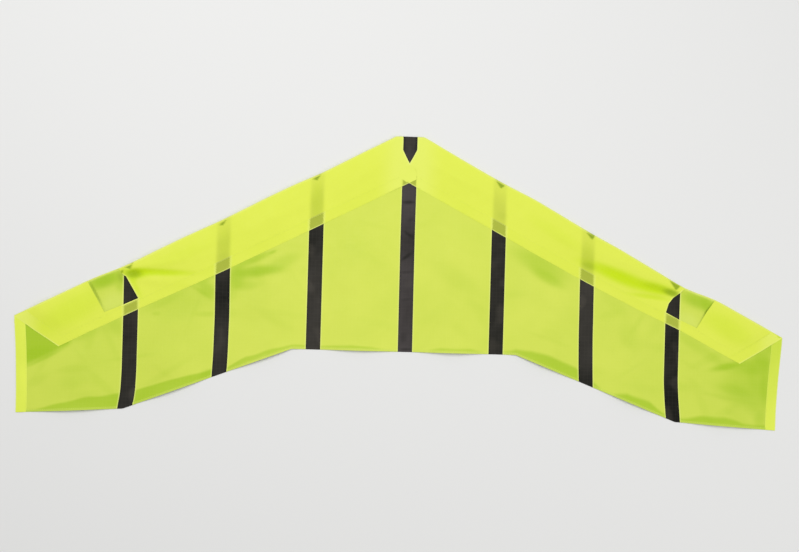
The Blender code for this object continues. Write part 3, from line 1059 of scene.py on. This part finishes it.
# %% Panels
def make_panel(side, number):
    node = f"panel_{side}_{number}"
    low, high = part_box(node)
    rows = int((high.y - low.y) / STEP)
    sheet = flat_cut(int((high.x - low.x) / STEP), rows + HEM_ROWS,
                     lambda u, w: panel_plan(side, number, u, panel_rows(rows, w)))
    lay(sheet, node, "panel", panel_place, panel_tones)


for side in SIDES:
    for number in (1, 2, 3, 4):
        make_panel(side, number)

# %% [markdown]
# ## Tip hems
#
# The tip is turned over into a wide hem: double cloth and so brighter, and soft along its inner
# edge. It could be folded over from the tip panel's own sheet, as the trailing hem is. It is a
# cloth of its own because the CAD model has it as a piece, and so that it can have its own
# colour.

# %% Flat cut of a tip hem
TIP_HEM_WIDTH = 15 * MM
TIP_HEM_ENDS = 0.2 * MM, 1.2 * MM  # from the trailing and from the leading edge


def tip_hem_plan(side, u, w):
    """u runs from the hem's inner edge to the tip."""
    y = np.zeros_like(u)
    for _ in range(PASSES):
        out = tip_out(side, y) - TIP_HEM_WIDTH * (1 - u)
        back, front = trailing_y(out) + TIP_HEM_ENDS[0], leading_y(side, out) - TIP_HEM_ENDS[1]
        y = mix(back, front, w)
    return SIDES[side] * out, y


print("front of a tip hem, x and y:", np.round(tip_hem_plan("left", test_u, 0 * test_u + 1), 4))

# %% Tip hems
PUFF, PUFF_WIDTH = 0.35 * MM, 14 * MM


def inside_tip(x, y):
    """How far a point is from the tip's outer edge."""
    return by_side(x, lambda side: tip_out(side, y)) - np.abs(x)


def tip_hem_place(x, y):
    height, _ = ground(x, y)
    across = np.clip(inside_tip(x, y) / PUFF_WIDTH, 0, 1)
    puff = PUFF * np.sin(math.pi * across) * (0.8 + 0.4 * ripples(x, y, size=0.03, seed=51))
    return np.stack([x, y, height + 1.2 * CLOTH + np.maximum(puff, 0)], 1)


def tip_hem_tones(x, y):
    """The right tip's hem is greener than the left one's."""
    from_edge = inside_tip(x, y)
    edge = 1 - smooth(0.5 * MM, 1.6 * MM, from_edge)
    inner = 1 - smooth(0.4 * MM, 1.4 * MM, TIP_HEM_WIDTH - from_edge)
    green = (0.03 + 0.33 * (x > 0)) * smooth(-0.2, -0.09, y)
    green += 0.03 * (1 + ripples(x, y, size=0.03, seed=52))
    return {"fold": green, "rim": np.maximum(0.5 * edge, 0.15 * inner)}


for side in SIDES:
    sheet = flat_cut(10, int((tip_high.y - tip_low.y) / STEP), partial(tip_hem_plan, side))
    lay(sheet, "tip_hem_" + side, "tip", tip_hem_place, tip_hem_tones)

# %% [markdown]
# ## Sleeves
#
# Each sleeve is one cut: the flap that shows, then the strip that goes round the fold and back
# under it. The window is cut while the cloth is still flat, as a sailmaker would, with
# `bisect_plane` along each of its sides and the middle taken out. A boolean on the laid sleeve
# would do it too, but would leave ragged faces. At the nose the ends are cut on a slant, so that
# they cross over the keel strip and leave a notch.

# %% Window outlines
WINDOWS = {  # corners in order (out, y), from the outer edge's front end
    "left": [(449, -12), (446.8, -19.9), (423, -60.2), (400, -50.3), (376.5, -39.4), (394.2, -9.4),
             (397.4, -7.8), (401.5, -4.6), (405, 1)],
    "right": [(449.5, -13), (447.5, -18), (437, -33), (422.2, -58.8), (398, -48.3), (376.2, -37.4),
              (379.8, -24.8), (386.2, -16.2), (396.6, -8.6), (400, -5.8), (403.5, 0)],
}
OPEN_FROM = 1.3 * MM  # how much cloth stays in front of the window, as the pale edge


def window_corners(side):
    """The window's corners, kept behind the leading edge."""
    return [(out, min(y, float(leading_y(side, out)) - OPEN_FROM))
            for out, y in np.array(WINDOWS[side]) * MM]


def inside(corners, x, y):
    """True for points inside a closed outline."""
    hits = np.zeros(len(x), bool)
    for x0, y0, x1, y1 in sides_of(corners):
        crosses = (y0 > y) != (y1 > y)
        at = x0 + (y - y0) / (y1 - y0 if y1 != y0 else 1) * (x1 - x0)
        hits ^= crosses & (x < at)
    return hits


def edge_distance(corners, x, y):
    """Distance to the nearest side of an outline."""
    best = np.full(len(x), np.inf)
    for x0, y0, x1, y1 in sides_of(corners):
        dx, dy = x1 - x0, y1 - y0
        t = np.clip(((x - x0) * dx + (y - y0) * dy) / (dx * dx + dy * dy), 0, 1)
        best = np.minimum(best, np.hypot(x - x0 - t * dx, y - y0 - t * dy))
    return best


print("corners of the windows:", [len(window_corners(side)) for side in SIDES])


# %% Cutting a window
def faces_near(sheet, corners):
    """The faces around an outline, the only ones that its cuts have to go through."""
    outs, ys = zip(*corners)
    centres = [(f, f.calc_center_median()) for f in sheet.faces]
    return [f for f, c in centres if min(outs) - STEP < abs(c.x) < max(outs) + STEP
            and min(ys) - STEP < c.y < max(ys) + STEP]


def cut_window(sheet, side):
    sign, corners = SIDES[side], window_corners(side)
    for x0, y0, x1, y1 in sides_of(corners):
        near = faces_near(sheet, corners)
        bounds = {e for f in near for e in f.edges} | {v for f in near for v in f.verts}
        bmesh.ops.bisect_plane(sheet, geom=near + list(bounds), dist=1e-6,
                               plane_co=(sign * x0, y0, 0), plane_no=(y1 - y0, sign * (x0 - x1), 0))
    x, y, _ = np.array([f.calc_center_median() for f in sheet.faces]).T
    gone = [f for f, hit in zip(sheet.faces, inside(corners, sign * x, y)) if hit]
    bmesh.ops.delete(sheet, geom=gone, context="FACES")
    print("window:", len(gone), "faces taken out of the", side, "sleeve")


print("a window is", round(np.ptp(np.array(WINDOWS["left"])[:, 0])), "mm wide")

# %% Flat cut of a sleeve
RETURN = 6 * MM
FLAP_ROWS, WRAP_ROWS = 44, 12
WRAP_LENGTH = math.pi * 1.1 * FOLD_RADIUS + RETURN  # round the fold and back under it
NOSE_END_OUT, NOSE_CROSS_OUT = 10.3 * MM, 10.2 * MM
NOSE_NOTCH_SHARE, NOSE_SLANT = 0.243, 31.8 * MM  # where the slant starts, and how steep it is


def nose_end(share):
    """How far in a sleeve's end reaches: beside the keel strip, then across it on a slant."""
    slant = NOSE_END_OUT - NOSE_SLANT * np.clip(share - NOSE_NOTCH_SHARE, 0, None)
    return np.maximum(slant, -NOSE_CROSS_OUT)


def flap_cut(side, low, u, share, beyond=0.0):
    """share runs down the flap from the seam, and beyond is how much cloth lies past the seam."""
    out = mix(low, tip_end(side, share), u)
    return SIDES[side] * out, mix(seam_y(side, out), hem_y(side, out), share) + beyond


def sleeve_plan(side, u, w):
    row = np.round(w * (FLAP_ROWS + WRAP_ROWS))
    share = np.clip(1 - row / FLAP_ROWS, 0, 1)
    beyond = np.clip(row - FLAP_ROWS, 0, None) / WRAP_ROWS * WRAP_LENGTH
    return flap_cut(side, nose_end(share), u, share, beyond)


print("cloth round the fold and under it:", round(WRAP_LENGTH / MM, 1), "mm")


# %% Folding a sleeve
def sleeve_place(side, x, y):
    """Lays the flap down, and rolls what is past the seam round the fold and back under it."""
    out = x * SIDES[side]
    radius, seam = fold_radius(side, out), seam_y(side, out)
    height, _, _ = flap(side, out, np.minimum(y, seam))
    past = np.clip(y - seam, 0, None)
    angle = np.clip(past / radius, 0, math.pi)
    under = np.clip(past - math.pi * radius, 0, None)
    round_y = seam + radius * np.sin(angle) - under
    middle = height / 2 + CLOTH / 2
    round_z = middle + (height / 2 - CLOTH / 2) * np.cos(angle)
    return np.stack([x, np.where(past > 0, round_y, y), np.where(past > 0, round_z, height)], 1)


test_edge = leading_y("right", test_out) - MM
print("fold's heights, mm:", (sleeve_place("right", test_out, test_edge)[:, 2] / MM).round(1))


# %% Tones of a sleeve
WINDOW_EDGE_TO = 0.4  # how far out the window's edge is pale


def shows_through(side, x, y):
    """1 over a dark strip, with the soft edge that a thickness of cloth gives."""
    centre = to_strip(side, x * SIDES[side], y, (1, 2))
    return 1 - smooth(HALF_STRIP - 3.5 * MM, HALF_STRIP + 2.5 * MM, centre)


def pale_nose(out):
    """The cloth is doubled again round the nose, and so paler."""
    return 0.25 * (1 - smooth(0.015, 0.05, out))


def sleeve_tones(side, x, y):
    out = x * SIDES[side]
    seam, share = seam_y(side, out), flap_share(side, out, y)
    _, tone, dark = flap(side, out, np.minimum(y, seam))
    # painted highlight on the doubled cloth at the fold's front and along the window's inner edge
    front = 1 - smooth(0.2 * MM, 1.8 * MM, seam - y)
    window = 1 - smooth(0.5 * MM, 1.6 * MM, edge_distance(window_corners(side), out, y))
    window = window * (out < WINDOW_EDGE_TO)
    nose_edge = (1 - smooth(0.8 * MM, 2.4 * MM, out - nose_end(share))) * (share < 0.6)
    strips = shows_through(side, x, y) * (0.12 + 0.11 * smooth(0.1, 0.5, share))
    rim = np.maximum.reduce([0.4 * front, 0.6 * window, pale_nose(out), 0.9 * nose_edge])
    # dark is painted shade in the deepest folds and pinched spots
    return {"fold": tone, "dark": 0.8 * dark, "under": strips, "rim": rim * (1 - dark)}


print("pale at the nose:", pale_nose(np.array([0, 30 * MM, 60 * MM])).round(2))


# %% Sleeves
def make_sleeve(side):
    sheet = flat_cut(300, FLAP_ROWS + WRAP_ROWS, partial(sleeve_plan, side))
    cut_window(sheet, side)
    lay(sheet, "leading_edge_sleeve_" + side, "sleeve_" + side, partial(sleeve_place, side),
        partial(sleeve_tones, side), turn=-SWEEP * SIDES[side])


for side in SIDES:
    make_sleeve(side)

# %% [markdown]
# ## Hem tapes and the sleeves' slanting hems
#
# Along its back edge each sleeve is turned in and sewn down, a band a finger wide. Over a dark
# strip the band turns olive, because the strip shows through it. The slanting end has a wider
# hem. Both could be painted on the sleeve, but a band that lies on it catches the light along its
# edges.

# %% Flat cut of a hem tape
TAPE_WIDTH = [(0, 16.5), (130, 17), (260, 16.9), (375, 14.4), (560, 14.2)]  # along Y
TAPE_END = 2 * MM  # from the slanting end
BESIDE_STRIP = 0.9 * MM  # of a row of stitches, from the strip's edge


def tape_plan(side, u, w):
    """The tape's ends follow the sleeve's, over the last fifth of the flap."""
    share = 1 - w * 0.2
    out = mix(nose_end(share), tip_end(side, share) - TAPE_END, u)
    return SIDES[side] * out, hem_y(side, out) + w * along(TAPE_WIDTH, out)


def tape_edges(side, out, y):
    """How far a point of the tape is from its back edge, and from the nearest of the two."""
    from_back = y - hem_y(side, out)
    return from_back, np.minimum(from_back, along(TAPE_WIDTH, out) - from_back)


print("tape's width along Y:", (along(TAPE_WIDTH, test_out) / MM).round(1), "mm")


# %% Hem tapes
def tape_place(side, x, y):
    out = x * SIDES[side]
    _, edge = tape_edges(side, out, y)
    over = CLOTH * (1.1 + 0.3 * smooth(0, 3 * MM, edge))
    return np.stack([x, y, flap(side, out, y)[0] + over], 1)


def tape_tones(side, x, y):
    out = x * SIDES[side]
    from_back, edge = tape_edges(side, out, y)
    centre, keel = to_strip(side, out, y, (1, 2, 3)), np.abs(x - along(KEEL_LINE, y))
    if side == "left":  # the right end lies between it and the keel strip, and hides it
        keel = np.where(y < hem_y("right", x), keel, np.inf)
    dark = 1 - smooth(HALF_STRIP - 1 * MM, HALF_STRIP + 0.8 * MM, np.minimum(centre, keel))
    line = (1 - smooth(0.7 * MM, 1.9 * MM, edge)) * np.where(from_back > 8 * MM, 0.25, 0.75)
    seams = 1 - smooth(0.6 * MM, 1.6 * MM, np.abs(centre - HALF_STRIP - BESIDE_STRIP))
    # the sleeve's painted shade, and a little tone at random
    tone = flap(side, out, y)[1] + 0.04 * (1 + ripples(x, y, size=0.04, seed=61))
    rim = np.maximum.reduce([line * dark, 0.35 * seams, pale_nose(out) * (1 - dark)])
    return {"fold": tone, "under": 0.52 * dark, "rim": rim}


for side in SIDES:
    lay(flat_cut(330, 9, partial(tape_plan, side)), "sleeve_hem_tape_" + side, "sleeve_" + side,
        partial(tape_place, side), partial(tape_tones, side), turn=-SWEEP * SIDES[side])

# %% Slanting hems
SLANT_HEM = 16.5 * MM  # its width along X


def slant_plan(side, u, w):
    share = 1 - w
    return flap_cut(side, tip_end(side, share) - SLANT_HEM, u, share)


def slant_place(side, x, y):
    points, out = sleeve_place(side, x, y), x * SIDES[side]
    share = flap_share(side, out, y)
    inset = np.clip((tip_end(side, share) - out) / SLANT_HEM, 0, 1)
    puff = 0.15 * MM * np.sin(math.pi * inset)
    points[:, 2] += (CLOTH * 2.7 + puff) * smooth(0, 0.08, share)
    return points


def slant_tones(side, x, y):
    out = x * SIDES[side]
    edge = 1 - smooth(0.5 * MM, 1.8 * MM, tip_end(side, flap_share(side, out, y)) - out)
    bright = 0.25 * smooth(0.505, 0.535, out)
    # the sleeve's painted shade, and a little greener towards the inner end
    tone = flap(side, out, y)[1] + 0.06 * (1 - smooth(0.5, 0.53, out))
    return {"fold": tone, "rim": np.maximum(bright, 0.5 * edge)}


for side in SIDES:
    lay(flat_cut(16, 40, partial(slant_plan, side)), "sleeve_tip_hem_" + side, "sleeve_" + side,
        partial(slant_place, side), partial(slant_tones, side), turn=-SWEEP * SIDES[side])

# %% [markdown]
# ## Stitches
#
# Every seam is machine sewn in a pale thread. A dashed line in the material would look flat from
# close by, so each stitch is a solid of its own: a stretched icosphere of twenty faces, set every
# three millimetres along its row, a hair above the cloth that it holds.


# %% Thread
def thread_finish():
    f = Finish("pale_thread")
    twist = f.node("TexWave", bands_direction="DIAGONAL")
    f.feed(twist.inputs["Scale"], 900)
    f.feed(twist.inputs["Vector"], f.place(0))
    shade = f.blend(twist.outputs["Fac"], srgb(216, 228, 88), srgb(228, 238, 108))
    f.feed(f.shader.inputs["Base Color"], shade)
    f.feed(f.shader.inputs["Roughness"], 0.6)
    return f.material


THREAD_FINISH = thread_finish()
print("thread:", THREAD_FINISH.name)

# %% Rows of stitches
STITCH, PITCH, THREAD = 1.15 * MM, 3.1 * MM, 0.2 * MM  # half length, spacing, half width
LINE = np.linspace(0, 1, 160)  # how finely a row follows its seam


def stitch_row(stitches, x, y, height):
    """Adds stitches along the path x, y, at height(x, y) above the floor."""
    run = np.concatenate([[0], np.cumsum(np.hypot(np.diff(x), np.diff(y)))])
    at = np.arange(PITCH, run[-1] - PITCH / 2, PITCH)
    sx, sy = np.interp(at, run, x), np.interp(at, run, y)
    dx, dy = np.interp(at + MM, run, x) - sx, np.interp(at + MM, run, y) - sy
    for px, py, pz, heading in zip(sx, sy, height(sx, sy), np.arctan2(dy, dx)):
        shape = (Matrix.Translation((px, py, pz)) @ Matrix.Rotation(heading, 4, "Z")
                 @ Matrix.Diagonal((STITCH, THREAD, THREAD * 0.8, 1)))
        bmesh.ops.create_icosphere(stitches, subdivisions=1, radius=1, matrix=shape)
    return len(at)


def sew(name, rows):
    """Makes one piece of all the rows, each an x, a y and a height function."""
    stitches = bmesh.new()
    count = sum(stitch_row(stitches, *row) for row in rows)
    mesh = bpy.data.meshes.new(name)
    stitches.to_mesh(mesh)
    stitches.free()
    mesh.shade_smooth()
    mesh.materials.append(THREAD_FINISH)
    piece = bpy.data.objects.new(name, mesh)
    bpy.context.collection.objects.link(piece)
    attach(piece, BODY)
    print(f"{name}: {count} stitches")


def on_cloth(place):
    """The height function of the cloth that place lays."""
    return lambda x, y: place(x, y)[:, 2] + CLOTH + THREAD * 0.3


print("a stitch every", round(PITCH / MM, 1), "mm")


# %% Stitches beside the strips
def strip_seams(side, number):
    """Two rows, from the trailing edge to the sleeve's hem."""
    middle = number * STRIP_PITCH
    y = mix(trailing_y(middle) + 1 * MM, hem_y(side, middle) - 6 * MM, LINE)
    for edge in (-1, 1):
        out = strip_out(side, number, y) + edge * (HALF_STRIP + BESIDE_STRIP)
        yield SIDES[side] * out, y, on_cloth(panel_place)


sew("keel_stitches", strip_seams("right", 0))
for side in SIDES:
    for number in (1, 2, 3):
        sew(f"strip_stitches_{side}_{number}", strip_seams(side, number))

# %% Stitches of the trailing hem
ROW_END = 1 * MM  # from a strip's edge
LAST_ROW_END = 0.52  # beside the tip's hem
IN_HEM = HEM_TURN - 0.8 * MM  # from the edge


def on_turned_hem(x, y):
    return ground(x, y)[0] + CLOTH * 2.5 + THREAD * 0.3


def trailing_seams(side):
    """A row in each bay, just inside the turned hem."""
    for number in range(4):
        low = number * STRIP_PITCH + HALF_STRIP + ROW_END
        high = (number + 1) * STRIP_PITCH - HALF_STRIP - ROW_END if number < 3 else LAST_ROW_END
        out = mix(low, high, LINE)
        yield SIDES[side] * out, trailing_y(out) + IN_HEM, on_turned_hem


for side in SIDES:
    sew(f"trailing_stitches_{side}", trailing_seams(side))

# %% Stitches of the tapes and tips
INSET = 1.2 * MM  # of a row of stitches from its hem's edge
TAPE_ROW_START, TAPE_ROW_STOP = 12 * MM, 4 * MM  # from the centreline and the slanting end
TIP_ROW_BACK, TIP_ROW_FRONT_Y = 3 * MM, -0.088
SLANT_ROW = 0.06, 0.97  # shares of the flap


def tape_seams(side):
    """A row along each edge of the tape."""
    out = mix(TAPE_ROW_START, SLEEVE_CORNER_OUT[side] - TAPE_ROW_STOP, LINE)
    for inset in (INSET, along(TAPE_WIDTH, out) - INSET):
        yield SIDES[side] * out, hem_y(side, out) + inset, on_cloth(partial(tape_place, side))


def tip_seams(side):
    """A row along the inner edge of the tip's hem, and one along the slanting hem's."""
    y = mix(TIP_BACK_Y + TIP_ROW_BACK, TIP_ROW_FRONT_Y, LINE)
    yield SIDES[side] * (tip_out(side, y) - TIP_HEM_WIDTH + INSET), y, on_cloth(tip_hem_place)
    share = mix(*SLANT_ROW, LINE)
    out = tip_end(side, share) - SLANT_HEM + INSET
    y = mix(seam_y(side, out), hem_y(side, out), share)
    yield SIDES[side] * out, y, on_cloth(partial(slant_place, side))


for side in SIDES:
    sew(f"tape_stitches_{side}", tape_seams(side))
    sew(f"tip_stitches_{side}", tip_seams(side))

# %% [markdown]
